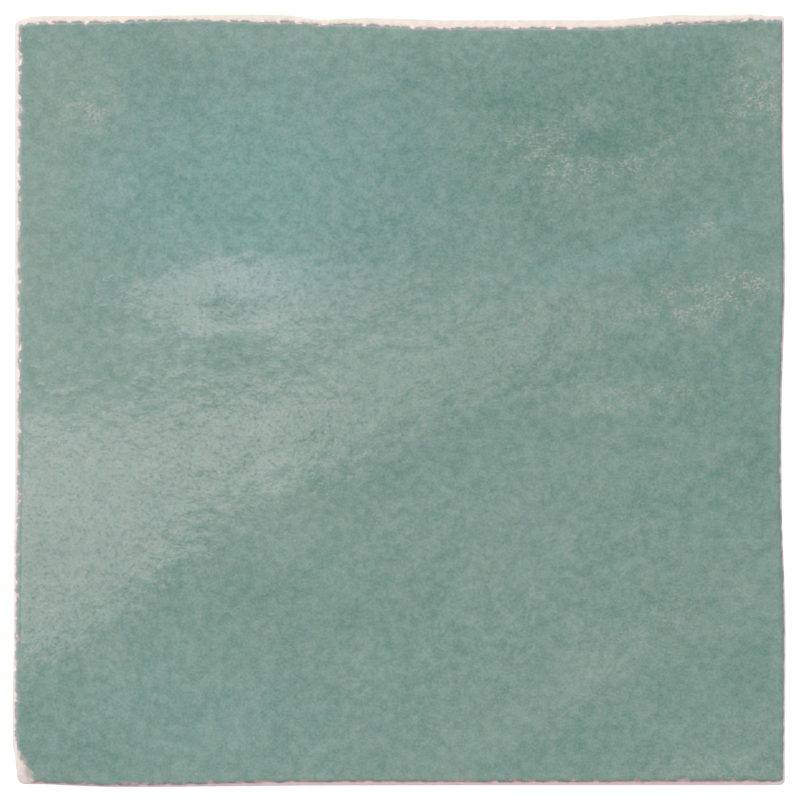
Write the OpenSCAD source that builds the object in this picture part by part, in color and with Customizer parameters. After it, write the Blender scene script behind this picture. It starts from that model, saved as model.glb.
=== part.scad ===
// Square wall tile, pressed and fired as one piece, with a hand-made look.
// The glazed face swells and dips, rolls down a little along its rim and stops short
// of the outline, where a narrow lip of pale clay shows. The outline wanders, and
// its four corners are worn differently. The back has a waffle of shallow pockets.
// Origin: middle of the back. +Z comes out of the glaze, +Y is the top edge.

/* [Tile] */
// Width, from the left edge to the right edge
tile_w = 132; // [100:1:200]
// Height, from the bottom edge to the top edge
tile_h = 132; // [100:1:200]
// Thickness, from the back to the highest spot of the glaze
thickness = 8.3; // [6.5:0.1:14]

/* [Outline] */
// Deepest place to which a pressed edge wanders in from a straight line
edge_wander = 1.5; // [0:0.1:2]
// Corner radius at the top left
corner_top_left = 1; // [0.8:0.1:6]
// Corner radius at the top right
corner_top_right = 0.5; // [0.5:0.1:6]
// Corner radius at the bottom right
corner_bottom_right = 0.9; // [0.8:0.1:6]
// Corner radius at the bottom left
corner_bottom_left = 1.2; // [0.8:0.1:6]

/* [Side wall] */
// How much smaller the foot of the wall is than the lip, on each side
wall_draft = 0.3; // [0:0.05:1]
// Chamfer where the wall meets the back
back_chamfer = 0.6; // [0.2:0.05:1.2]
// Rounding of the lip's outer edge
lip_round = 0.2; // [0.05:0.01:0.28]

/* [Bare lip] */
// Widest place of the bare clay lip along the top edge
lip_top = 1.5; // [0.5:0.05:3]
// Widest place of the bare clay lip along the right edge
lip_right = 0.4; // [0.35:0.05:3]
// Widest place of the bare clay lip along the bottom edge
lip_bottom = 0.75; // [0.55:0.05:3]
// Widest place of the bare clay lip along the left edge
lip_left = 0.8; // [0.4:0.05:3]

/* [Glaze] */
// Height of the glaze's own edge above the lip
glaze_step = 0.5; // [0.2:0.05:0.8]
// Rounding of the glaze's edge, measured inwards
glaze_round = 0.35; // [0.1:0.05:1]
// How much larger the glaze's corner radii are than the tile's
glaze_corner_extra = 0.3; // [0:0.1:3]
// How much further a chip has taken the glaze off the bottom left corner
chip_reach = 4; // [0:0.1:5]

/* [Cushion and swells] */
// Width of the band in which the face rolls down to the glaze's edge
cushion_w = 1.5; // [1:0.1:20]
// Depth of that roll
cushion_drop = 0.15; // [0.1:0.05:1.5]
// Height of the strongest swell of the face
swell_h = 0.3; // [0:0.05:0.8]

/* [Back] */
// Width of one square pocket
pocket_w = 12.2; // [6:0.1:13]
// Depth of the pockets
pocket_depth = 0.8; // [0.3:0.05:1.5]
// Corner radius of a pocket
pocket_round = 1.5; // [0.5:0.1:2.5]
// Width of the ribs between the pockets
rib_w = 2.2; // [1:0.1:5]
// Narrowest plain border round the pockets
back_border = 8; // [3:0.5:20]

/* [Hidden] */

// The four sides, in the order in which the outline runs round
SIDES = ["top", "right", "bottom", "left"];

// How far each side has wandered in, as [place along the side, share of edge_wander].
// Places run from left to right, or from top to bottom.
wander = [
    [
        [0, 0.75], [0.01, 0.52], [0.022, 0.29], [0.04, 0.2], [0.11, 0.19], [0.21, 0.13],
        [0.27, 0.05], [0.345, 0.08], [0.398, 0.63], [0.455, 0.44], [0.56, 0.66], [0.76, 0.66],
        [0.84, 0.19], [0.865, 0.09], [0.89, 0.15], [0.94, 0.12], [0.956, 0], [0.965, 0.02],
        [0.98, 0.21], [1, 0.22],
    ],
    [[0, 0.17], [0.15, 0.25], [0.32, 0.04], [0.54, 0.47], [0.64, 0.41], [0.8, 0], [1, 0.08]],
    [[0, 0.33], [0.03, 0.31], [0.06, 0.19], [0.13, 0], [0.4, 0.17], [0.95, 0.23]],
    [
        [0, 0.29], [0.6, 0.29], [0.68, 0.18], [0.82, 0.13], [0.91, 0], [0.945, 0.02],
        [0.955, 0.1], [0.965, 0.28], [0.978, 0.38], [0.987, 0.51], [1, 0.6],
    ],
];
// Width of the lip along each side, as [place along the side, share of its widest place]
lip_shape = [
    [
        [0, 0.5], [0.025, 0.8], [0.06, 0.8], [0.22, 0.56], [0.32, 0.9], [0.4, 0.6],
        [0.5, 1], [0.85, 1], [0.94, 0.73], [1, 0.63],
    ],
    [[0.1, 0.9], [0.5, 1], [0.9, 0.9]],
    [[0.05, 0.4], [0.15, 0.5], [0.3, 0.85], [0.45, 1], [0.6, 0.85], [0.95, 0.95]],
    [[0.05, 1], [0.22, 0.85], [0.4, 0.9], [0.7, 0.65], [0.82, 0.6], [0.95, 0.75]],
];
lip_w = [lip_top, lip_right, lip_bottom, lip_left];

// Corner radii in the order top left, top right, bottom right, bottom left
body_corners = [corner_top_left, corner_top_right, corner_bottom_right, corner_bottom_left];
chip = [0, 0, 0, chip_reach];
glaze_corners = [for (c = [0 : 3]) body_corners[c] + glaze_corner_extra + chip[c]];

// Low swells and dips of the face: [x, y, half length, half width, turn, height].
// Places are shares of the tile from its middle, half sizes shares of its width,
// the turn is in degrees and the height is a share of swell_h.
swells = [
    [-0.215, 0.21, 0.17, 0.085, 2, 1],
    [-0.21, 0.09, 0.05, 0.025, 4, -0.14],
    [0.26, 0.41, 0.1, 0.05, -8, 0.65],
    [0.31, -0.03, 0.09, 0.035, 4, 0.33],
    [0.47, 0.47, 0.05, 0.08, 0, 0.35],
    [0.1, -0.25, 0.4, 0.16, 22, -0.95],
    [0.38, 0.27, 0.22, 0.06, 15, -0.35],
    [-0.44, 0.19, 0.12, 0.2, 0, -0.35],
    [-0.36, -0.31, 0.14, 0.1, 45, 0.7],
];

// Cells along each side of the face, and how strongly they crowd towards its edges
cells = 44;
crowding = 0.82;
// Steps in which the lip and the glaze's edge are rounded
round_steps = 3;

pitch = pocket_w + rib_w;
columns = 2 * floor((tile_w - 2 * back_border + rib_w) / (2 * pitch));
rows = 2 * floor((tile_h - 2 * back_border + rib_w) / (2 * pitch));

function mix(a, b, s) = a + (b - a) * s;

// A smooth curve through hand-set knots of [place, value], level at its crests and ends.
// Between them its slope at a knot is the harmonic mean of the two straight slopes there.
function straight(knots, i) =
    (knots[i + 1][1] - knots[i][1]) / (knots[i + 1][0] - knots[i][0]);
function slope(knots, i) =
    i == 0 || i == len(knots) - 1 ? 0
    : let (before = straight(knots, i - 1), after = straight(knots, i))
      before * after <= 0 ? 0 : 2 * before * after / (before + after);
function smooth(knots, t, i = 0) =
    t <= knots[0][0] ? knots[0][1]
    : i == len(knots) - 1 ? knots[i][1]
    : t > knots[i + 1][0] ? smooth(knots, t, i + 1)
    : let (
        run = knots[i + 1][0] - knots[i][0],
        s = (t - knots[i][0]) / run,
        lean = (1 - s) * slope(knots, i) - s * slope(knots, i + 1)
      )
      mix(knots[i][1], knots[i + 1][1], s * s * (3 - 2 * s)) + run * s * (1 - s) * lean;

// Place of cell line i along a side, from 0 to 1, crowded towards both ends
function place(i) = let (t = i / cells) t - crowding * sin(360 * t) / (2 * PI);

// Depth of a rounded corner of radius r, at distance d from the sharp corner
function corner(d, r) = d >= r ? 0 : r - sqrt(r * r - (r - d) * (r - d));
// Where the middle of a rounded corner lies, as a share of its radius
mid_corner = 1 - sqrt(1 / 2);

// How far a side lies inside the tile's box: its wander, a share of its lip and an inset
function side_in(side, s, lip, inset) =
    let (n = search([side], SIDES)[0])
    edge_wander * smooth(wander[n], s) + lip * lip_w[n] * smooth(lip_shape[n], s) + inset;

// Point of one side of the outline at cell line i
function side_point(side, i, lip, inset, radii) =
    let (
        s = place(i),
        level = side == "top" || side == "bottom",
        half_run = (level ? tile_w : tile_h) / 2,
        half_rise = (level ? tile_h : tile_w) / 2,
        end = side == "top" || side == "left" ? 0 : 1,
        start_in = side_in(level ? "left" : "top", end, lip, inset),
        stop_in = side_in(level ? "right" : "bottom", end, lip, inset),
        r_start = radii[side == "right" ? 1 : side == "bottom" ? 3 : 0],
        r_stop = radii[side == "top" ? 1 : side == "left" ? 3 : 2],
        length = 2 * half_run - start_in - stop_in,
        along = mix(mid_corner * r_start, length - mid_corner * r_stop, s),
        rise = half_rise - side_in(side, s, lip, inset)
            - corner(along, r_start) - corner(length - along, r_stop),
        run = start_in + along - half_run
    )
    side == "top" ? [run, rise]
    : side == "right" ? [rise, -run]
    : side == "bottom" ? [run, -rise]
    : [-rise, -run];

// The whole outline, clockwise from the top left corner
function ring(lip, inset, radii) = [
    for (i = [0 : cells - 1]) side_point("top", i, lip, inset, radii),
    for (i = [0 : cells - 1]) side_point("right", i, lip, inset, radii),
    for (i = [cells : -1 : 1]) side_point("bottom", i, lip, inset, radii),
    for (i = [cells : -1 : 1]) side_point("left", i, lip, inset, radii),
];

// Height of one swell at a point, a smooth mound with an elliptical foot
function mound(p, m) =
    let (
        dx = p[0] - m[0] * tile_w,
        dy = p[1] - m[1] * tile_h,
        along = (dx * cos(m[4]) + dy * sin(m[4])) / (m[2] * tile_w),
        across = (dy * cos(m[4]) - dx * sin(m[4])) / (m[3] * tile_w)
    )
    m[5] * exp(-along * along - across * across);
function add(list, i = 0) = i == len(list) ? 0 : list[i] + add(list, i + 1);
function mounds(p) = add([for (m = swells) mound(p, m)]);
// The highest spot, found on the face's own cell lines
highest = max([
    for (i = [0 : cells], j = [0 : cells])
        mounds([(place(i) - 1 / 2) * tile_w, (place(j) - 1 / 2) * tile_h])
]);
// Height of the glaze's edge, which follows the swells and dips
function edge_z(p) = thickness - cushion_drop + swell_h * (mounds(p) - highest);

// How far the roll has risen at distance d from the glaze's edge, from 0 to 1
function roll(d) = let (s = min(max(d / cushion_w, 0), 1)) 1 - (1 - s) * (1 - s);

// The glazed face: a patch between the four sides of the glaze's edge
function face_rim(side) =
    [for (i = [0 : cells]) side_point(side, i, 1, glaze_round, glaze_corners)];
rim_top = face_rim("top");
rim_right = face_rim("right");
rim_bottom = face_rim("bottom");
rim_left = face_rim("left");
function face_point(i, j) =
    let (
        u = place(i),
        v = place(j),
        top = rim_top[i],
        bottom = rim_bottom[i],
        left = rim_left[j],
        right = rim_right[j],
        corners = mix(
            mix(rim_top[0], rim_top[cells], u),
            mix(rim_bottom[0], rim_bottom[cells], u), v),
        p = mix(left, right, u) + mix(top, bottom, v) - corners,
        risen = roll(p[0] - left[0]) * roll(right[0] - p[0])
            * roll(top[1] - p[1]) * roll(p[1] - bottom[1])
    )
    [p[0], p[1], edge_z(p) + cushion_drop * risen];

function at_z(points, z) = [for (p = points) [p[0], p[1], z]];
function below_edge(points, drop) = [for (p = points) [p[0], p[1], edge_z(p) - drop]];

// Rings of the wall, the lip and the glaze's edge, from the back upwards
rings = [
    at_z(ring(0, wall_draft + back_chamfer, body_corners), 0),
    at_z(ring(0, wall_draft, body_corners), back_chamfer),
    for (k = [0 : round_steps]) let (a = 90 * k / round_steps)
        below_edge(ring(0, lip_round * (1 - cos(a)), body_corners),
            glaze_step + lip_round * (1 - sin(a))),
    for (k = [0 : round_steps - 1]) let (a = 90 * k / round_steps)
        below_edge(ring(1, glaze_round * (1 - cos(a)), glaze_corners),
            glaze_step * (1 - sin(a))),
];
ring_count = len(rings);
around = 4 * cells;
first_face = ring_count * around;

// Index of a face point, and of the face point that closes the outline at step k
function face_at(i, j) = first_face + j * (cells + 1) + i;
function rim_at(k) =
    let (side = SIDES[floor(k / cells) % 4], i = k % cells)
    side == "top" ? face_at(i, 0)
    : side == "right" ? face_at(cells, i)
    : side == "bottom" ? face_at(cells - i, cells)
    : face_at(0, cells - i);
function ring_at(r, k) = r == ring_count ? rim_at(k % around) : r * around + k % around;

module pressed_slab() {
    points = [
        for (r = rings) each r,
        for (j = [0 : cells]) for (i = [0 : cells]) face_point(i, j),
    ];
    back = [[for (k = [around - 1 : -1 : 0]) k]];
    walls = [
        for (r = [0 : ring_count - 1]) for (k = [0 : around - 1])
            each [
                [ring_at(r, k), ring_at(r, k + 1), ring_at(r + 1, k + 1)],
                [ring_at(r, k), ring_at(r + 1, k + 1), ring_at(r + 1, k)],
            ],
    ];
    face = [
        for (j = [0 : cells - 1]) for (i = [0 : cells - 1])
            each [
                [face_at(i, j), face_at(i + 1, j), face_at(i + 1, j + 1)],
                [face_at(i, j), face_at(i + 1, j + 1), face_at(i, j + 1)],
            ],
    ];
    polyhedron(points, concat(back, walls, face), convexity = 4);
}

module pocket_outline() {
    square([pocket_w, pocket_w - 2 * pocket_round], center = true);
    square([pocket_w - 2 * pocket_round, pocket_w], center = true);
    for (x = [-1, 1], y = [-1, 1])
        translate([x, y] * (pocket_w / 2 - pocket_round)) circle(r = pocket_round, $fn = 16);
}

module back_pockets() {
    for (c = [0 : columns - 1], r = [0 : rows - 1])
        translate([(c - (columns - 1) / 2) * pitch, (r - (rows - 1) / 2) * pitch, -pocket_depth])
            linear_extrude(2 * pocket_depth) pocket_outline();
}

module tile() {
    color([0.51, 0.61, 0.58])
        difference() {
            pressed_slab();
            back_pockets();
        }
}

tile();
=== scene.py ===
# %% [markdown]
# # A glazed wall tile with a hand-made look
#
# The real tile is one piece of pale clay, pressed in a die and fired with a grey-green glaze.
# The imported model is loaded first, because it fixes the tile's size and place.
# Everything that follows is fitted inside its box, and the imported tile is kept but hidden.

import bpy
import numpy as np
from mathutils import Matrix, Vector


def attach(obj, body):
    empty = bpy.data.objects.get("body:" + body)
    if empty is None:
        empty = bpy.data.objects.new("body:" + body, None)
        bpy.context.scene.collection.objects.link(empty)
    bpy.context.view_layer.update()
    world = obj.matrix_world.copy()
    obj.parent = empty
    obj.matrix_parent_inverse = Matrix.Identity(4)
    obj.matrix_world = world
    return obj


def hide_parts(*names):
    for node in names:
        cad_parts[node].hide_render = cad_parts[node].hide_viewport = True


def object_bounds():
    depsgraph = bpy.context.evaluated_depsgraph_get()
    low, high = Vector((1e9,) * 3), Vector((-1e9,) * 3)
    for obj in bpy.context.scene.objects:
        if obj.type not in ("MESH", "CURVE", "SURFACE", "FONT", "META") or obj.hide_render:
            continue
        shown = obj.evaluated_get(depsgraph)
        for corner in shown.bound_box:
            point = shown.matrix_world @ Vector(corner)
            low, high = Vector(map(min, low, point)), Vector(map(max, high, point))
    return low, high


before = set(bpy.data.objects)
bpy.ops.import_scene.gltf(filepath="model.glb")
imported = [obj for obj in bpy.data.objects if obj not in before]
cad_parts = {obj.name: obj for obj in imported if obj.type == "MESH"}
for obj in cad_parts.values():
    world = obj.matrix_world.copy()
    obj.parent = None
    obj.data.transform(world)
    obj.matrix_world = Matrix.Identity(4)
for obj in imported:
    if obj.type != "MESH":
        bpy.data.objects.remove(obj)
cad_low, cad_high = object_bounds()
MM = 0.001
tile_w, tile_h, thickness = (np.array(cad_high) - np.array(cad_low)) / MM
print("box of the tile in mm", round(tile_w, 2), round(tile_h, 2), round(thickness, 2))

# %% [markdown]
# ## The numbers of the tile
#
# The outline of a pressed tile isn't straight. Each side wanders in by up to a millimetre or
# so, and the four corners are worn differently. The glaze stops short of the outline, and a
# narrow lip of bare clay shows round it. Lengths are in millimetres, and the places along a
# side run from 0 to 1, from left to right or from top to bottom. Most values are the ones that
# the solid was made with. The corners of the glaze are squarer here and the roll at its rim is
# narrower, as the lamp shows them. A few knots keep a curve editable, where a tracing would not.

# %% Outline, lip and glaze
edge_wander = 1.5
wander = {
    "top": [(0, 0.75), (0.01, 0.52), (0.022, 0.29), (0.04, 0.2), (0.11, 0.19), (0.21, 0.13),
            (0.27, 0.05), (0.345, 0.08), (0.398, 0.63), (0.455, 0.44), (0.56, 0.66),
            (0.76, 0.66), (0.84, 0.19), (0.865, 0.09), (0.89, 0.15), (0.94, 0.12),
            (0.956, 0), (0.965, 0.02), (0.98, 0.21), (1, 0.22)],
    "right": [(0, 0.17), (0.15, 0.25), (0.32, 0.04), (0.54, 0.47), (0.64, 0.41), (0.8, 0),
              (1, 0.08)],
    "bottom": [(0, 0.33), (0.03, 0.31), (0.06, 0.19), (0.13, 0), (0.4, 0.17), (0.95, 0.23)],
    "left": [(0, 0.29), (0.6, 0.29), (0.68, 0.18), (0.82, 0.13), (0.91, 0), (0.945, 0.02),
             (0.955, 0.1), (0.965, 0.28), (0.978, 0.38), (0.987, 0.51), (1, 0.6)],
}
lip_width = {"top": 1.5, "right": 0.4, "bottom": 0.75, "left": 0.8}
lip_shape = {
    "top": [(0, 0.5), (0.025, 0.8), (0.06, 0.8), (0.22, 0.56), (0.32, 0.9), (0.4, 0.6),
            (0.5, 1), (0.85, 1), (0.94, 0.73), (1, 0.63)],
    "right": [(0.1, 0.9), (0.5, 1), (0.9, 0.9)],
    "bottom": [(0.05, 0.4), (0.15, 0.5), (0.3, 0.85), (0.45, 1), (0.6, 0.85), (0.95, 0.95)],
    "left": [(0.05, 1), (0.22, 0.85), (0.4, 0.9), (0.7, 0.65), (0.82, 0.6), (0.95, 0.75)],
}
# Corner radii in the order top left, top right, bottom right, bottom left
body_corners = np.array([1.0, 0.5, 0.9, 1.2])
glaze_corners = np.array([0.4, 0.35, 0.8, 1.3])
wall_draft = 0.3
back_chamfer = 0.6
lip_round = 0.2
glaze_step = 0.5
glaze_round = 0.35
print("widest bare lip in mm", max(lip_width.values()))

# %% Cushion, swells and back
cushion_w = 0.25
cushion_drop = 0.04
swell_h = 0.3
# Each swell: x, y, half length and half width as shares of the tile's size, turn in degrees,
# and its height as a share of swell_h
swells = np.array([
    (-0.215, 0.21, 0.17, 0.085, 2, 1),
    (-0.21, 0.09, 0.05, 0.025, 4, -0.14),
    (0.26, 0.41, 0.1, 0.05, -8, 0.65),
    (0.31, -0.03, 0.09, 0.035, 4, 0.33),
    (0.47, 0.47, 0.05, 0.08, 0, 0.35),
    (0.1, -0.25, 0.4, 0.16, 22, -0.95),
    (0.38, 0.27, 0.22, 0.06, 15, -0.35),
    (-0.44, 0.19, 0.12, 0.2, 0, -0.35),
    (-0.36, -0.31, 0.14, 0.1, 45, 0.7),
])
pocket_w = 12.2
pocket_depth = 0.8
pocket_round = 1.5
rib_w = 2.2
pockets_each_way = 8
print("swells", len(swells), "and pockets", pockets_each_way**2)

# %% [markdown]
# ## Curves as whole arrays
#
# A side of the outline is a smooth curve through a few knots. Written with numpy, one call
# gives all its points, and no loop over vertices is needed. The spacing crowds towards the
# corners, because the small corner arcs need more points than the long straight stretches.

# %% Smooth curves and rounded corners
CELLS = 201
CROWDING = 0.6


def place(steps, crowding=CROWDING):
    """Places from 0 to 1: t minus a share of a full sine wave, which crowds them at both ends."""
    t = np.arange(steps + 1) / steps
    return t - crowding * np.sin(2 * np.pi * t) / (2 * np.pi)


def smooth(knots, s):
    """Cubic arcs from knot to knot. The slope at a knot is the harmonic mean of the straight
    slopes on its two sides, and the curve is level at crests and ends."""
    at, value = np.array(knots, float).T
    straight = np.diff(value) / np.diff(at)
    before, after = straight[:-1], straight[1:]
    both = np.where(before * after > 0, before + after, np.inf)
    slope = np.concatenate([[0], 2 * before * after / both, [0]])
    k = np.clip(np.searchsorted(at, s) - 1, 0, len(at) - 2)
    run = at[k + 1] - at[k]
    part = np.clip((s - at[k]) / run, 0, 1)
    lean = (1 - part) * slope[k] - part * slope[k + 1]
    ease = part**2 * (3 - 2 * part)
    return value[k] + (value[k + 1] - value[k]) * ease + run * part * (1 - part) * lean


def corner(distance, radius):
    """Depth of a rounded corner: the radius less the height of its circle at this distance."""
    inside = np.clip(radius - distance, 0, None)
    return radius - np.sqrt(radius**2 - inside**2)


# Two sides meet in the middle of the corner's arc, at this share of its radius from each side
MID_CORNER = 1 - np.sqrt(1 / 2)
SIDES = ("top", "right", "bottom", "left")
CORNERS_OF = {"top": (0, 1), "right": (1, 2), "bottom": (3, 2), "left": (0, 3)}


def side_in(side, s, lip, inset):
    """How far a side lies inside the box: its wander, a share of its lip and an inset."""
    return (edge_wander * smooth(wander[side], s)
            + lip * lip_width[side] * smooth(lip_shape[side], s) + inset)


def side_line(side, s, lip, inset, corners, worn=0.0):
    """Points of one side: along it from corner to corner, and out from the middle by half the
    box, less side_in, less the depth of both corners, less any wear."""
    level = side in ("top", "bottom")
    half_run, half_rise = (tile_w / 2, tile_h / 2) if level else (tile_h / 2, tile_w / 2)
    end = 0.0 if side in ("top", "left") else 1.0
    start_in = side_in("left" if level else "top", end, lip, inset)
    stop_in = side_in("right" if level else "bottom", end, lip, inset)
    first, last = (corners[c] for c in CORNERS_OF[side])
    length = 2 * half_run - start_in - stop_in
    along = MID_CORNER * first + s * (length - MID_CORNER * (first + last))
    rise = (half_rise - side_in(side, s, lip, inset) - worn
            - corner(along, first) - corner(length - along, last))
    run = start_in + along - half_run
    turned = {"top": (run, rise), "right": (rise, -run),
              "bottom": (run, -rise), "left": (-rise, -run)}
    return np.stack(turned[side], axis=-1)


print("cells along a side", CELLS)

# %% [markdown]
# ## Nibbled edges
#
# The arris of a fired tile isn't a clean line: crumbs of glaze break off when tiles knock
# together. Each side gets its own row of small bites, made from a few waves of different
# length that are cut off below a level, so that bites stand apart with whole glaze between.

# %% Bites along the glaze's edge
rng = np.random.default_rng(7)
WAVES = 5
WAVE_LENGTH = 2.8
WAVE_SPREAD = (0.6, 1.7)
USUAL_SUM = 2.2
BITE_LEVEL = 0.1
FADE_RATE = 40


def bites(s, depth):
    """Sum of sine waves of random phase about one wavelength, as a share of their usual sum,
    where it passes a level. It fades out at both ends of the side."""
    waves = tile_w / WAVE_LENGTH * rng.uniform(*WAVE_SPREAD, WAVES)
    phases = rng.uniform(0, 2 * np.pi, WAVES)
    total = np.sin(2 * np.pi * s[:, None] * waves + phases).sum(axis=1) / USUAL_SUM
    fade = np.clip(np.minimum(s, 1 - s) * FADE_RATE, 0, 1)
    return depth * np.clip(total - BITE_LEVEL, 0, 1) * fade


s_side = place(CELLS)
bite_depth = {"top": 0.14, "right": 0.06, "bottom": 0.2, "left": 0.14}
bitten = {side: bites(s_side, bite_depth[side]) for side in SIDES}
print("deepest bite in mm", {side: round(float(b.max()), 2) for side, b in bitten.items()})

# %% [markdown]
# ## Heights of the face
#
# The glaze lies on a body that the die and the drying left slightly uneven. Broad low mounds
# and hollows, a few tenths of a millimetre high, are enough to break up a reflection. They
# are summed as smooth hills, because a hill has a place, a size and a turn that can be read.

# %% Swells


def hills(p, table):
    """Sum of elliptical hills, each its height times e to the minus squared distance."""
    x, y, half_length, half_width, turn, height = table.T
    turn = np.radians(turn)
    dx = p[..., 0, None] - x * tile_w
    dy = p[..., 1, None] - y * tile_h
    along = (dx * np.cos(turn) + dy * np.sin(turn)) / (half_length * tile_w)
    across = (dy * np.cos(turn) - dx * np.sin(turn)) / (half_width * tile_w)
    return (height * np.exp(-(along**2) - across**2)).sum(axis=-1)


# The highest swell is looked for on the same grid as when the solid was made
SOLID_CELLS = 44
SOLID_CROWDING = 0.82
across_box = place(SOLID_CELLS, SOLID_CROWDING) - 0.5
box_grid = np.stack(np.meshgrid(across_box * tile_w, across_box * tile_h), -1)
highest = hills(box_grid, swells).max()


def edge_z(p):
    """Height of the glaze's edge: the thickness less the cushion's drop, with the swells."""
    return thickness - cushion_drop + swell_h * (hills(p, swells) - highest)


print("highest swell, as a share of swell_h", round(float(highest), 3))

# %% [markdown]
# ## Rings from the back up to the glaze
#
# The wall, the rounded lip and the glaze's own edge are rings of the same number of points.
# A ring is a whole outline at one inset and one height. Neighbouring rings are joined by
# quads later, so the section of the edge is simply the list of insets and heights.

# %% Rings of the wall, the lip and the glaze's edge
ROUND_STEPS = 5
turns = np.linspace(0, np.pi / 2, ROUND_STEPS)
# Distances from the glaze's edge are kept with the rings, and are negative on the clay
FAR_BACK = -9.0
FAR_FOOT = -8.0


def ring_of(lines):
    """Joins four sides to one outline, clockwise from the top left corner."""
    return np.concatenate([lines["top"][:-1], lines["right"][:-1],
                           lines["bottom"][:0:-1], lines["left"][:0:-1]])


def ring(lip, inset, corners, worn=False):
    """Outline at a share of the lip plus an inset, with the bites where it is worn."""
    return ring_of({
        side: side_line(side, s_side, lip, inset, corners, bitten[side] if worn else 0.0)
        for side in SIDES
    })


def at_height(points, z):
    """Flat points, lifted to one height or each to its own."""
    return np.column_stack([points, np.broadcast_to(z, len(points))])


rings = [at_height(ring(0, wall_draft + back_chamfer, body_corners), 0.0)]
rings.append(at_height(ring(0, wall_draft, body_corners), back_chamfer))
glaze_foot = ring(1, 0.0, glaze_corners, worn=True)
from_edge = [np.full(len(glaze_foot), far) for far in (FAR_BACK, FAR_FOOT)]
for angle in turns:
    outline = ring(0, lip_round * (1 - np.cos(angle)), body_corners)
    rings.append(at_height(outline, edge_z(outline) - glaze_step
                           - lip_round * (1 - np.sin(angle))))
    from_edge.append(-np.linalg.norm(outline - glaze_foot, axis=1))
for angle in turns[:-1]:
    outline = ring(1, glaze_round * (1 - np.cos(angle)), glaze_corners, worn=True)
    rings.append(at_height(outline, edge_z(outline) - glaze_step * (1 - np.sin(angle))))
    from_edge.append(np.full(len(outline), glaze_round * (1 - np.cos(angle))))
print("rings", len(rings), "points each", len(rings[0]))

# %% [markdown]
# ## The glazed face
#
# The face is a patch stretched between its four edge curves. Its height is the swells plus
# a roll that rises from the edge as a parabola and is flat past the cushion's width. At the
# bottom left a knock has taken the glaze off. A slanting line marks the break, and the points
# of face and rim below it drop to the clay, so the lip runs on round the corner.

# %% Face grid


def patch(lines, u, v):
    """Patch between four lines: left to right plus top to bottom, less the corners' plane."""
    u, v = u[None, :, None], v[:, None, None]
    top, bottom = lines["top"][None], lines["bottom"][None]
    left, right = lines["left"][:, None], lines["right"][:, None]
    corners = ((1 - v) * ((1 - u) * top[:, :1] + u * top[:, -1:])
               + v * ((1 - u) * bottom[:, :1] + u * bottom[:, -1:]))
    return (1 - u) * left + u * right + (1 - v) * top + v * bottom - corners


rim = {
    side: side_line(side, s_side, 1, glaze_round, glaze_corners, bitten[side])
    for side in SIDES
}
face_xy = patch(rim, s_side, s_side)
gaps = np.stack([
    face_xy[..., 0] - rim["left"][:, None, 0],
    rim["right"][:, None, 0] - face_xy[..., 0],
    rim["top"][None, :, 1] - face_xy[..., 1],
    face_xy[..., 1] - rim["bottom"][None, :, 1],
])
left_over = 1 - np.clip(gaps / cushion_w, 0, 1)
risen = (1 - left_over**2).prod(axis=0)
face_edge = gaps.min(axis=0) + glaze_round
print("points of the face", face_edge.size)

# %% The knocked corner
chip_line = np.array([(-65.1, -60.8), (-62.6, -62.9)])
CHIP_WALL = 0.4
WOBBLE = 0.12
WOBBLE_RATE = 5.3


def from_chip(p):
    """Signed distance from the knocked corner, which lies below a slanting line and left of
    its right end, with a small wobble so that the break isn't straight."""
    run_x, run_y = np.diff(chip_line, axis=0)[0] / np.linalg.norm(np.diff(chip_line, axis=0))
    above = (p[..., 1] - chip_line[0, 1]) * run_x - (p[..., 0] - chip_line[0, 0]) * run_y
    beside = p[..., 0] - chip_line[1, 0]
    wobble = WOBBLE * np.sin((p[..., 0] + p[..., 1]) * WOBBLE_RATE)
    return np.maximum(above, beside) + wobble


def knock_off(p):
    """Lowers points inside the chip to the lip's level, eased over the width of its wall."""
    share = np.clip(0.5 - from_chip(p) / CHIP_WALL, 0, 1)
    share = share**2 * (3 - 2 * share)
    lip_level = edge_z(p[..., :2]) - glaze_step
    drop = share * np.clip(p[..., 2] - lip_level, 0, None)
    return np.concatenate([p[..., :2], p[..., 2:] - drop[..., None]], axis=-1)


face = knock_off(np.dstack([face_xy, edge_z(face_xy) + cushion_drop * risen]))
rings = rings[:2] + [knock_off(points) for points in rings[2:]]
print("face from", round(face[..., 2].min(), 2), "to", round(face[..., 2].max(), 2), "mm high")

# %% [markdown]
# ## The ribbed back
#
# The die leaves a waffle of shallow pockets in the back, which help the adhesive to hold and
# keep the tile flat as it dries. The back is a flat grid whose lines crowd at the pockets'
# edges, so that steep pocket walls need few cells. A distance from each pocket's rounded
# outline says how deep a point of the grid lies.

# %% Back grid
BACK_RIM_IN = 3.6
FLAT_LINES = 5
POCKET_WALL = 0.2
# Grid lines lie this far inside the edges of a pocket, or outside where negative
inwards = np.array([-0.35, -0.2, -0.1, 0, 0.1, 0.2, 0.35, 0.5, 0.7, 0.9, 1.2, 1.5])
pitch = pocket_w + rib_w
centres = (np.arange(pockets_each_way) - (pockets_each_way - 1) / 2) * pitch
edges = pocket_w / 2 - inwards
pocket_lines = np.sort((centres[:, None] + np.concatenate([edges, -edges])).ravel())
rim_half = tile_w / 2 - BACK_RIM_IN
border = np.linspace(rim_half, pocket_lines[-1], FLAT_LINES, endpoint=False)
back_lines = np.concatenate([-border, pocket_lines, border[::-1]])


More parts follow.
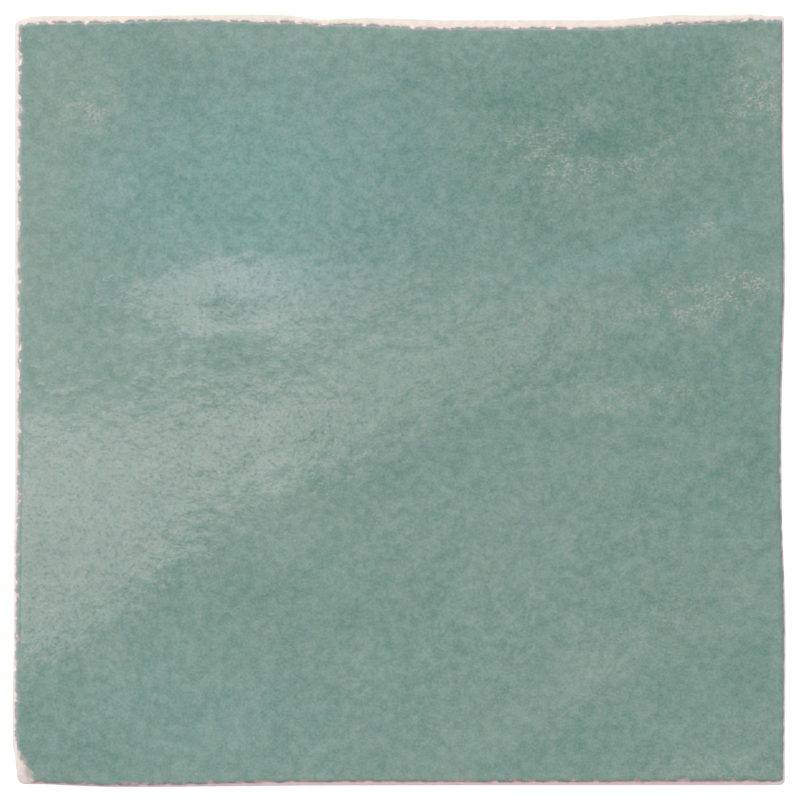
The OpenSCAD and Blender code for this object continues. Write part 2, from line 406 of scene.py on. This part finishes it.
def pocket_share(x, y):
    """How deep a point lies, from 0 to 1: its distance inside the nearest pocket's rounded
    square, as a share of the wall's width, eased at both ends."""
    in_x = np.abs(x[..., None] - centres).min(axis=-1) - (pocket_w / 2 - pocket_round)
    in_y = np.abs(y[..., None] - centres).min(axis=-1) - (pocket_w / 2 - pocket_round)
    outside = np.hypot(np.clip(in_x, 0, None), np.clip(in_y, 0, None))
    inside = np.clip(np.maximum(in_x, in_y), None, 0)
    share = np.clip((pocket_round - outside - inside) / POCKET_WALL, 0, 1)
    return share**2 * (3 - 2 * share)


back_x, back_y = np.meshgrid(back_lines, -back_lines)
back = np.dstack([back_x, back_y, pocket_depth * pocket_share(back_x, back_y)])
print("lines of the back grid", len(back_lines), "for", CELLS + 1)

# %% [markdown]
# ## One closed skin
#
# Back grid, rings and face grid are joined into one mesh. Each face also gets its place on a
# flat layout: the glazed face has the largest square, each side of the wall has a strip, and
# the back has a smaller square.

# %% Mesh of the whole tile
around = 4 * CELLS
side_points = len(rings) * around
per_grid = (CELLS + 1) ** 2
ids = np.arange(per_grid).reshape(CELLS + 1, CELLS + 1)
face_ids = side_points + ids
back_ids = side_points + per_grid + ids


def rim_of(grid):
    """Outline of a grid, clockwise from its top left corner."""
    return np.concatenate([grid[0, :-1], grid[:-1, -1], grid[-1, :0:-1], grid[:0:-1, 0]])


ring_ids = [rim_of(back_ids)]
ring_ids += [np.arange(around) + r * around for r in range(len(rings))]
ring_ids += [rim_of(face_ids)]
ring_ids = np.array(ring_ids)
closed = np.column_stack([ring_ids, ring_ids[:, :1]])


def grid_quads(grid, flip=False):
    """Quads of a grid, each from its top left corner down and round; flipped for a back."""
    quads = np.stack([grid[:-1, :-1], grid[1:, :-1], grid[1:, 1:], grid[:-1, 1:]], axis=2)
    quads = quads.reshape(-1, 4, *grid.shape[2:])
    return quads[:, ::-1] if flip else quads


# Sides of the squares and height of a strip, as shares of the layout
FACE_SQUARE = 0.72
BACK_SQUARE = 0.26
STRIP = 0.064
MARGIN = 0.006
face_uv = MARGIN + FACE_SQUARE * (face_xy / (tile_w, tile_h) + 0.5)
back_uv = (np.dstack([back_x, back_y]) / (2 * rim_half) + 0.5) * (BACK_SQUARE - 2 * MARGIN)
back_uv = back_uv + (1 - BACK_SQUARE + MARGIN, MARGIN)
# Widths of the bands between the rings, from the back's rim up to the face
widths = np.array([2.5, 0.9, 6.5, *[0.1] * (ROUND_STEPS - 1), 1.5, *[0.15] * (ROUND_STEPS - 1)])
steps_up = np.concatenate([[0], np.cumsum(widths)]) / widths.sum()
run_along = np.concatenate([s_side[:-1], s_side[:-1], 1 - s_side[:0:-1], 1 - s_side[:0:-1]])
side_no = np.arange(around) // CELLS
strip_u0 = MARGIN + FACE_SQUARE * run_along
strip_u1 = MARGIN + FACE_SQUARE * np.where(
    np.arange(1, around + 1) % CELLS == 0, 1, np.roll(run_along, -1))
strip_v = (FACE_SQUARE + 3 * MARGIN + side_no * STRIP
           + (STRIP - 2 * MARGIN) * steps_up[:, None])
low, high = slice(None, -1), slice(1, None)
wall_quads = np.stack([closed[low, low], closed[high, low], closed[high, high],
                       closed[low, high]], axis=2).reshape(-1, 4)
wall_u = np.stack([strip_u0, strip_u0, strip_u1, strip_u1], axis=1)
wall_uv = np.stack([
    np.broadcast_to(wall_u, (len(closed) - 1, around, 4)),
    np.stack([strip_v[low], strip_v[high], strip_v[high], strip_v[low]], axis=2),
], axis=3).reshape(-1, 4, 2)

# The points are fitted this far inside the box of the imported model, in mm
INSIDE = 0.001
SHARP_ANGLE = 50
points = np.concatenate([*rings, face.reshape(-1, 3), back.reshape(-1, 3)])
box_low = np.array(cad_low) / MM + INSIDE
box_size = np.array([tile_w, tile_h, thickness]) - 2 * INSIDE
points = box_low + (points - points.min(axis=0)) * box_size / np.ptp(points, axis=0)
quads = np.concatenate([wall_quads, grid_quads(face_ids), grid_quads(back_ids, flip=True)])
uv = np.concatenate([wall_uv, grid_quads(face_uv), grid_quads(back_uv, flip=True)])
mesh = bpy.data.meshes.new("glazed_tile")
mesh.from_pydata(points * MM, [], quads.tolist())
layout = mesh.uv_layers.new(name="OFBake", do_init=False)
layout.data.foreach_set("uv", uv.astype(np.float32).ravel())
mesh.shade_smooth()
mesh.set_sharp_from_angle(angle=np.radians(SHARP_ANGLE))
tile = bpy.data.objects.new("glazed_tile", mesh)
bpy.context.collection.objects.link(tile)
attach(tile, "root")
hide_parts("tile")
print("triangles", 2 * len(mesh.polygons))

# %% [markdown]
# ## Maps that steer the finish
#
# Fired glaze is thin in some places and thick in others. Where it is thin it looks paler and
# warmer, and the same map also paints part of the glaze's sheen as a paler reflection. A bluer
# patch is a painted reflection of a bluish sky. In some patches the glaze has crinkled, and there
# pale specks are painted glints beside painted shade. Crumbs of white show along the edges, and
# the bare clay is cream at the top and a darker pink at the bottom, partly painted shade. These
# are broad differences, so they are stored as values at the points of the mesh, and the fine
# grain comes from noise later.

# %% Values at the points


def edge_blend(p, of_side, reach=1.5):
    """Mean of four values, weighted by e to the minus distance from each side."""
    out = np.stack([tile_h / 2 - p[:, 1], tile_w / 2 - p[:, 0],
                    tile_h / 2 + p[:, 1], tile_w / 2 + p[:, 0]], axis=1)
    weight = np.exp(-(out - out.min(axis=1, keepdims=True)) / reach)
    weight = weight / weight.sum(axis=1, keepdims=True)
    return weight @ np.array([of_side[side] for side in SIDES], float)


# Thin glaze and painted sheen: x, y, half length, half width, turn in degrees, how pale. Broad
# tones come first
thin_glaze_and_sheen_zones = np.array([
    (-0.42, -0.1, 0.2, 0.1, 20, 0.3),
    (-0.05, 0.04, 0.4, 0.09, 20, 0.2),
    (-0.22, 0.1, 0.16, 0.06, 2, 0.45),
    (-0.231, 0.123, 0.035, 0.012, 0, -0.45),
    (-0.205, 0.165, 0.04, 0.02, 5, 0.35),
    (-0.165, -0.1, 0.08, 0.025, 25, 0.5),
    (-0.5, 0.2, 0.3, 0.13, 90, 0.75),
    (-0.41, 0.385, 0.04, 0.03, 0, 0.35),
    (-0.2, -0.42, 0.4, 0.12, 0, 0.25),
    (-0.2, 0.36, 0.3, 0.15, 0, 0.16),
    (0.3, 0.195, 0.12, 0.012, 16, 0.2),
    (0.462, 0.395, 0.035, 0.055, 0, 0.45),
    (0.472, 0.455, 0.035, 0.03, 0, 0.5),
    (0.25, 0.38, 0.2, 0.1, 0, -0.38),
    (0.266, 0.335, 0.05, 0.02, 8, -0.4),
    (0.42, -0.1, 0.2, 0.45, 0, -0.12),
    (0.33, -0.31, 0.17, 0.03, 31, 0.15),
    (0.41, -0.475, 0.08, 0.02, 0, 0.3),
    # Smaller clouds
    (-0.1, -0.19, 0.12, 0.05, 10, 0.33),
    (-0.12, -0.04, 0.05, 0.02, 25, -0.3),
    (0.15, 0.035, 0.09, 0.05, 10, -0.3),
    (0.15, 0.265, 0.08, 0.03, 0, -0.27),
    (-0.25, 0.205, 0.11, 0.03, 0, 0.28),
    (-0.335, 0.08, 0.04, 0.03, 0, 0.22),
    (-0.46, 0.0, 0.03, 0.05, 0, 0.28),
    (-0.36, -0.335, 0.05, 0.03, 20, 0.3),
    (-0.46, -0.28, 0.03, 0.03, 0, 0.35),
    (0.37, -0.25, 0.06, 0.05, 30, -0.22),
    (0.21, 0.43, 0.05, 0.04, 0, 0.22),
    (-0.38, -0.2, 0.05, 0.04, 0, -0.18),
    (-0.1, 0.45, 0.4, 0.04, 0, 0.14),
    (-0.16, -0.16, 0.07, 0.03, 15, 0.2),
    (-0.03, 0.085, 0.05, 0.025, 0, 0.28),
    (0.215, 0.115, 0.04, 0.05, 0, -0.26),
    (0.336, -0.28, 0.04, 0.03, 0, -0.2),
    (0.35, -0.46, 0.06, 0.025, 0, -0.22),
    (0.45, 0.02, 0.04, 0.03, 0, 0.24),
    (-0.43, -0.04, 0.05, 0.02, 0, 0.2),
    (-0.3, -0.345, 0.06, 0.03, 0, 0.2),
    # Paler strips along the four sides, partly painted sheen where the roll at the glaze's rim
    # turns the reflection away
    (0.0, 0.48, 0.5, 0.025, 0, 0.4),
    (-0.494, -0.15, 0.3, 0.012, 90, 0.55),
    (0.494, 0.0, 0.5, 0.012, 90, 0.45),
    (0.0, -0.494, 0.5, 0.01, 0, 0.35),
])
# Painted reflection of a bluish sky: x, y, half length, half width, turn in degrees, how much
# bluer
sky_reflection_zones = np.array([
    (-0.19, 0.27, 0.25, 0.15, 5, 1.0),
    (0.3, 0.195, 0.14, 0.02, 16, 0.6),
    (-0.134, 0.16, 0.06, 0.03, 5, 0.5),
    (-0.26, -0.41, 0.17, 0.07, 0, 0.35),
    (-0.5, 0.2, 0.3, 0.12, 90, -0.3),
    (0.47, 0.39, 0.05, 0.06, 0, -0.4),
])
# Crinkled patches with painted glints and shade: x, y, half length, half width, turn in degrees,
# how dense
glint_patch_zones = np.array([
    (0.247, 0.323, 0.11, 0.045, 3, 1.25),
    (0.266, 0.335, 0.055, 0.026, 8, -1.5),
    (0.458, 0.395, 0.035, 0.05, 0, 1.0),
    (0.375, 0.125, 0.08, 0.03, 8, 0.9),
    (0.19, 0.12, 0.06, 0.018, 0, 0.5),
    (0.455, 0.155, 0.035, 0.03, 30, 0.8),
    (0.31, 0.005, 0.08, 0.025, 3, 0.7),
    (0.39, 0.225, 0.02, 0.012, 20, 1.0),
    (-0.4, 0.38, 0.04, 0.035, 0, 0.85),
    (0.33, -0.3, 0.14, 0.04, 28, 0.4),
    (0.41, -0.475, 0.08, 0.02, 0, 0.6),
])
flat = points[:, :2]
# Creep is how far the glaze's colour runs out over its edge, and faded is how softly the dark
# line there ends
maps = {
    "from_edge": np.minimum(
        np.concatenate([*from_edge, face_edge.ravel(), np.full(per_grid, FAR_BACK)]),
        from_chip(flat)),
    "creep": edge_blend(flat, {"top": 0.2, "right": 0.3, "bottom": 0.12, "left": 0.1}),
    "faded": edge_blend(flat, {"top": 0.35, "right": 0.1, "bottom": 0.05, "left": 0.35}),
    "thin_glaze_and_sheen": hills(flat, thin_glaze_and_sheen_zones),
    "sky_reflection": hills(flat, sky_reflection_zones),
    "glint_patches": np.clip(hills(flat, glint_patch_zones), 0, 1),
    "crumbs": edge_blend(flat, {"top": 0.7, "right": 0.1, "bottom": 0.6, "left": 0.8}),
}
for name, values in maps.items():
    layer = mesh.attributes.new(name, "FLOAT", "POINT")
    layer.data.foreach_set("value", values.astype(np.float32))
edge_colours = {
    # The bare clay is cream at the top and darker and pinker at the bottom, partly its own tone
    # and partly painted shade.
    "clay": {"top": (0.87, 0.78, 0.7), "right": (0.8, 0.73, 0.73),
             "bottom": (0.72, 0.56, 0.575), "left": (0.88, 0.8, 0.76)},
    # The dark rim is partly the glaze thinning over the clay and partly a painted shadow line
    # along the glaze's step. It is lighter at the bottom and right, as painted light against the
    # step's shade there.
    "rim": {"top": (0.37, 0.3, 0.32), "right": (0.4, 0.36, 0.38),
            "bottom": (0.43, 0.33, 0.33), "left": (0.42, 0.38, 0.4)},
}
# A film of glaze on the right half of the knocked corner: x, y, half length, half width, turn
# in degrees, how dense
film = np.array([(-0.478, -0.481, 0.011, 0.0055, 100, 1.3)])
filmed = np.clip(hills(flat, film), 0, 1)[:, None]
FILM = np.array([0.48, 0.44, 0.4])
# Along the break the glaze ends in a pale line that fades out over this many mm
BREAK_FADE = 0.8
BREAK_RIM = np.array([0.5, 0.45, 0.42])
broken = np.clip(1 - from_chip(flat) / BREAK_FADE, 0, 1)[:, None]
for name, of_side in edge_colours.items():
    rgb = edge_blend(flat, of_side)
    if name == "rim":
        rgb = rgb + (BREAK_RIM - rgb) * broken
    rgb = rgb + (FILM - rgb) * filmed
    layer = mesh.attributes.new(name, "FLOAT_COLOR", "POINT")
    layer.data.foreach_set(
        "color", np.column_stack([rgb, np.ones(len(rgb))]).astype(np.float32).ravel())
print("values at", len(flat), "points:", ", ".join([*maps, *edge_colours]))

# %% [markdown]
# ## Glaze and clay
#
# One material covers both, because glaze and clay meet in a nibbled line and not at a seam.
# Noises from 4.5 mm down to a quarter of a millimetre give the mottling of an opaque glaze and
# the ripples and small pits of its surface. Two more shift the hue a little. In the crinkled
# patches a fine noise parts painted glints on the folds from painted shade in the dips. The
# distance from the edge lays a thin mauve line where the glaze thins out, which is also a painted
# shadow line along the glaze's step, then pale crumbs, then the bare clay, and a bite noise moves
# all three lines together, so that crumbs cut into the glaze.

# %% Helpers for shader nodes
finish = bpy.data.materials.new("fired_glaze")
finish.use_nodes = True
finish_tree = finish.node_tree
shader = finish_tree.nodes["Principled BSDF"]


def node(kind, inputs=None, tree=finish_tree, **settings):
    """Adds a node to a tree, sets its plain settings, and sets or links its inputs."""
    made = tree.nodes.new(kind)
    for name, value in settings.items():
        setattr(made, name, value)
    for name, value in (inputs or {}).items():
        if isinstance(value, bpy.types.NodeSocket):
            tree.links.new(value, made.inputs[name])
        else:
            made.inputs[name].default_value = value
    return made


def math(operation, first, second=0.0, third=0.0, clamp=False, tree=finish_tree):
    """Result of a sum, product or other operation on up to three values."""
    return node("ShaderNodeMath", {0: first, 1: second, 2: third}, tree,
                operation=operation, use_clamp=clamp).outputs[0]


def weighted_sum(parts):
    """Sum of values, each times its weight."""
    total = 0.0
    for value, weight in parts:
        total = math("MULTIPLY_ADD", value, weight, total)
    return total


def ramp(value, low, high, to_low=0.0, to_high=1.0):
    """Follows a value from low to high, clamped and eased at both ends."""
    return node("ShaderNodeMapRange", {
        "Value": value, "From Min": low, "From Max": high, "To Min": to_low, "To Max": to_high,
    }, interpolation_type="SMOOTHSTEP").outputs["Result"]


def blend(share, first, second, kind="MIX"):
    """First colour where the share is 0, and mixed with or multiplied by the second at 1."""
    return node("ShaderNodeMix", {0: share, 6: first, 7: second},
                data_type="RGBA", blend_type=kind).outputs[2]


def attribute(name, output="Fac"):
    """Value that is stored at the points of the mesh, or its colour."""
    return node("ShaderNodeAttribute", attribute_name=name).outputs[output]


place_on_tile = node("ShaderNodeTexCoord").outputs["Object"]
# Grain of a noise whose scale is one
USUAL_GRAIN = 0.6


def noise(grain_mm, shift, detail=2.0, roughness=0.5, stretch=(1, 1, 1)):
    """Noise whose grain is about this many millimetres, moved by its own shift."""
    moved = node("ShaderNodeMapping", {
        "Vector": place_on_tile, "Location": (shift, -shift, shift / 2), "Scale": stretch,
    })
    return node("ShaderNodeTexNoise", {
        "Vector": moved.outputs[0], "Scale": USUAL_GRAIN / (grain_mm * MM),
        "Detail": detail, "Roughness": roughness,
    }).outputs["Fac"]


print("nodes to start with", len(finish_tree.nodes))

# %% Grain of the glaze
# Each noise: grain in mm, shift, detail, roughness and, where it isn't even, stretch
cloud = noise(4.5, 0.31, 2.0, 0.5)
ripple = noise(2.2, 0.73, 1.0, 0.5)
mottle = noise(1.0, 0.57, 2.0, 0.6)
grain = noise(0.26, 0.83, 1.0, 0.6)
hue = noise(0.9, 0.12, 2.0, 0.5)
hue_blue = noise(1.1, 0.92, 2.0, 0.6)
cluster = noise(1.2, 0.49, 2.0, 0.6)
pits = noise(0.4, 0.44, 1.0, 0.5)
folds = noise(0.28, 0.37, 1.0, 0.6, (1, 1.4, 1))
print("nodes of the noises", len(finish_tree.nodes))

# %% Colour of the glaze
DEEP = (0.089, 0.214, 0.171, 1)
PALE = (0.295, 0.396, 0.356, 1)
TEAL = (0.965, 1.012, 1.015, 1)
TAN = (1.035, 0.988, 0.985, 1)
LESS_BLUE = (1, 1.006, 0.98, 1)
MORE_BLUE = (1, 0.994, 1.02, 1)
SKY_BLUE = (0.98, 1.1, 1.17, 1)
PALE_EVERYWHERE = 0.03
# Paleness of the glaze: mottling, and the thin-glaze map, which also paints part of the sheen as
# paler glaze
paleness = weighted_sum([
    (ramp(cloud, 0.25, 0.75), 0.14),
    (ramp(mottle, 0.25, 0.75), 0.3),
    (ramp(grain, 0.25, 0.75), 0.28),
    (attribute("thin_glaze_and_sheen"), 0.4),
])
glaze = blend(math("ADD", paleness, PALE_EVERYWHERE, clamp=True), DEEP, PALE)
tint = blend(ramp(hue, 0.3, 0.7), TEAL, TAN)
glaze = blend(1.0, glaze, tint, "MULTIPLY")
glaze = blend(1.0, glaze, blend(ramp(hue_blue, 0.3, 0.7), LESS_BLUE, MORE_BLUE), "MULTIPLY")
# Painted reflection of a bluish sky, where its map is high
glaze = blend(attribute("sky_reflection"), glaze, blend(1.0, glaze, SKY_BLUE, "MULTIPLY"))

# %% Crinkled patches: a veil of painted sheen, painted glints on the folds, painted shade in the dips
SHEEN_VEIL = (0.42, 0.36, 0.34, 1)
GLINT = (0.49, 0.5, 0.46, 1)
# Each crinkled patch gets a pale veil of painted sheen, painted glints where the folds rise and
# painted shade in the dips between them
glint_patch_share = math("MULTIPLY", ramp(cluster, 0.4, 0.6), attribute("glint_patches"))
fold_and_glint_share = math("MULTIPLY", ramp(folds, 0.5, 0.62), glint_patch_share)
dip_shade_share = math("MULTIPLY", ramp(folds, 0.46, 0.36), glint_patch_share)
for share, strength, tone in [(glint_patch_share, 0.17, SHEEN_VEIL), (fold_and_glint_share, 0.62, GLINT),
                              (dip_shade_share, 0.35, DEEP)]:
    glaze = blend(math("MULTIPLY", share, strength), glaze, tone)
print("nodes of the glaze's colour", len(finish_tree.nodes))

# %% Colour of the edge and the clay
edge = attribute("from_edge")
NIBBLE_REACH = 0.9
BITE_REACH = 0.55
# Dark rim with its painted shadow line, pale crumbs and bare clay each end between two distances
# from the glaze's edge, in mm
RIM = (0.1, 0.34)
CRUMBS = (-0.02, 0.14)
CLAY = (-0.24, -0.06)
RIM_AND_SHADOW_STRENGTH = 0.8
CRUMB_CLAY = 0.6
nibble = noise(1.1, 0.7, 3.0, 0.6)
uneven = math("MULTIPLY_ADD", math("SUBTRACT", nibble, 0.5), NIBBLE_REACH, edge)
uneven = math("ADD", uneven, attribute("creep"))
bite = math("MULTIPLY", ramp(noise(0.9, 0.21, 2.0, 0.5), 0.48, 0.66), attribute("crumbs"))
glaze_line = math("MULTIPLY_ADD", bite, -BITE_REACH, uneven)
rim_end = math("ADD", attribute("faded"), RIM[1])
rim_and_shadow_share = ramp(glaze_line, RIM[0], rim_end, 1.0, 0.0)
crumb_share = ramp(glaze_line, *CRUMBS, 1.0, 0.0)
clay_share = ramp(glaze_line, *CLAY, 1.0, 0.0)
# Colour of the bare clay, darker at the bottom partly as painted shade
clay_grain = ramp(noise(0.7, 0.65, 3.0, 0.6), 0.3, 0.7, 0.93, 1.04)
clay_and_shade_colour = blend(1.0, attribute("clay", "Color"), clay_grain, "MULTIPLY")
rim_and_shadow_colour = attribute("rim", "Color")
# Painted shadow line at the glaze's edge, laid with the rim's colour
colour = blend(math("MULTIPLY", rim_and_shadow_share, RIM_AND_SHADOW_STRENGTH), glaze, rim_and_shadow_colour)
colour = blend(crumb_share, colour, blend(CRUMB_CLAY, rim_and_shadow_colour, clay_and_shade_colour))
colour = blend(clay_share, colour, clay_and_shade_colour)
finish_tree.links.new(colour, shader.inputs["Base Color"])
print("nodes of the whole colour", len(finish_tree.nodes))

# %% Gloss and relief
BARE_ROUGH = 0.65
WORN_ROUGH = 0.45
RELIEF_UNIT = 0.02
bare = math("MAXIMUM", clay_share, crumb_share)
gloss = ramp(mottle, 0.3, 0.7, 0.05, 0.07)
worn_edge = ramp(edge, 0.2, 0.5, WORN_ROUGH, 0.0)
rough = math("MAXIMUM", math("MULTIPLY_ADD", bare, BARE_ROUGH, gloss), worn_edge)
finish_tree.links.new(rough, shader.inputs["Roughness"])
height = weighted_sum([
    (mottle, 0.55),
    (grain, 0.1),
    (ripple, 0.72),
    (cloud, 1.3),
    (ramp(pits, 0.6, 0.7), -0.18),
    (fold_and_glint_share, 0.3),
    (bare, -3.0),
])
relief = node("ShaderNodeBump", {"Height": height, "Strength": 1.0, "Distance": RELIEF_UNIT * MM})
finish_tree.links.new(relief.outputs["Normal"], shader.inputs["Normal"])
mesh.materials.append(finish)
print("nodes in the finish", len(finish_tree.nodes))

# %% [markdown]
# ## Floor, light and camera
#
# The tile lies on a white floor and is seen from straight above. A white sky and one large
# soft lamp from the upper left light it evenly. The pale sheen on the real glaze is what a
# few soft windows look like in a slightly wavy mirror, so eight faint oblong lamps hang high
# above. The swells of the face bend their mirror images into a patch, a band and a wedge.

# %% Floor
SEEN_AS_WHITE = 0.6
FLOOR_SIDE = 30.0
half = FLOOR_SIDE / 2
floor_mesh = bpy.data.meshes.new("floor")
floor_mesh.from_pydata([(-half, -half, 0), (half, -half, 0), (half, half, 0), (-half, half, 0)],
                       [], [(0, 1, 2, 3)])
floor = bpy.data.objects.new("floor", floor_mesh)
bpy.context.collection.objects.link(floor)
card = bpy.data.materials.new("white_card")
card.use_nodes = True
floor_mesh.materials.append(card)
print("floor", FLOOR_SIDE, "m wide")


def seen_directly(tree, low, high):
    """High where a ray comes from the camera, a glossy surface or glass, else low."""
    path = node("ShaderNodeLightPath", tree=tree).outputs
    seen = math("MAXIMUM", path["Is Camera Ray"], path["Is Glossy Ray"], tree=tree)
    seen = math("MAXIMUM", seen, path["Is Transmission Ray"], tree=tree)
    return math("MULTIPLY_ADD", seen, high - low, low, tree=tree)


card_shader = card.node_tree.nodes["Principled BSDF"]
card_shader.inputs["Base Color"].default_value = (0.9, 0.9, 0.9, 1)
card_shader.inputs["Roughness"].default_value = 1.0
card_shader.inputs["Specular IOR Level"].default_value = 0.0
card_shader.inputs["Emission Color"].default_value = (1, 1, 1, 1)
card.node_tree.links.new(
    seen_directly(card.node_tree, 0.0, SEEN_AS_WHITE), card_shader.inputs["Emission Strength"])

# %% Sky
SKY = 0.55
world = bpy.data.worlds.new("studio")
bpy.context.scene.world = world
world.use_nodes = True
background = world.node_tree.nodes["Background"]
background.inputs["Color"].default_value = (1, 1, 1, 1)
world.node_tree.links.new(
    seen_directly(world.node_tree, SKY, 1.0), background.inputs["Strength"])
print("sky lights the tile at", SKY, "and is seen at 1.0")

# %% Camera
# In the photo the tile is 773 pixels wide, and its middle lies a pixel off the image's middle
TILE_MM = 132.0
TILE_PX = 773.0
PX = TILE_MM / TILE_PX * MM
OFF_X_PX = 1.2
OFF_Y_PX = 0.2
IMAGE_SIDE = 800
LENS = 400
SENSOR = 36
# Height above the floor where a pixel has just that size. The camera stands above it at the
# width of the image times the lens's length over the sensor's width
SCALE_HEIGHT = 0.0065
camera_data = bpy.data.cameras.new("camera")
camera_data.lens = LENS
camera_data.sensor_width = SENSOR
camera = bpy.data.objects.new("camera", camera_data)
bpy.context.collection.objects.link(camera)
camera.location = (OFF_X_PX * PX, OFF_Y_PX * PX,
                   IMAGE_SIDE * PX * LENS / SENSOR + SCALE_HEIGHT)
bpy.context.scene.camera = camera
print("camera", round(camera.location.z, 3), "m above the floor")

# %% Lamps


def softbox(name, spot, rotation, size, radiance, colour=(1, 1, 1)):
    """An oblong lamp. Its power is its radiance times pi times its area."""
    lamp = bpy.data.lights.new(name, "AREA")
    lamp.shape = "RECTANGLE"
    lamp.size, lamp.size_y = size
    lamp.energy = radiance * np.pi * size[0] * size[1]
    lamp.color = colour
    made = bpy.data.objects.new(name, lamp)
    made.location = spot
    made.rotation_euler = rotation
    bpy.context.collection.objects.link(made)


KEY_SPOT = Vector((-0.8, 1.6, 1.8))
KEY_SIZE = (1.2, 1.2)
KEY_RADIANCE = 8.9
towards_tile = (-KEY_SPOT).to_track_quat("-Z", "Y").to_euler()
softbox("key", KEY_SPOT, towards_tile, KEY_SIZE, KEY_RADIANCE)
# Height of the sheens above the floor, in mm
SHEEN_Z = 1300
WARM = (1, 0.75, 0.78)
ROSE = (1, 0.8, 0.8)
# Each sheen: x, y, length, width in mm, turn in degrees, radiance, colour
sheens = {
    "sheen_wedge": (-131, -44.5, 110, 30, 36, 3.3, WARM),
    "sheen_wedge_edge": (-120.7, -58.7, 110, 5, 36, 2.2, WARM),
    "sheen_wedge_fringe": (-117.5, -63.1, 110, 6, 36, 1.1, WARM),
    "sheen_shelf": (-78, -17, 118, 34, 4, 3.8, WARM),
    "sheen_band": (12, 3, 110, 28, 24, 2.3, WARM),
    "sheen_right": (95, 34, 80, 26, 15, 0.5, WARM),
    "sheen_low": (70, -58, 110, 16, 12, 1.4, ROSE),
    "sheen_foot": (90, -112, 60, 16, 10, 1.2, ROSE),
}
for name, (x, y, length, width, turn, radiance, colour) in sheens.items():
    softbox(name, (x * MM, y * MM, SHEEN_Z * MM), (0, 0, np.radians(turn)),
            (length * MM, width * MM), radiance, colour)
print("lamps", 1 + len(sheens))

bpy.context.scene.view_settings.view_transform = "Standard"
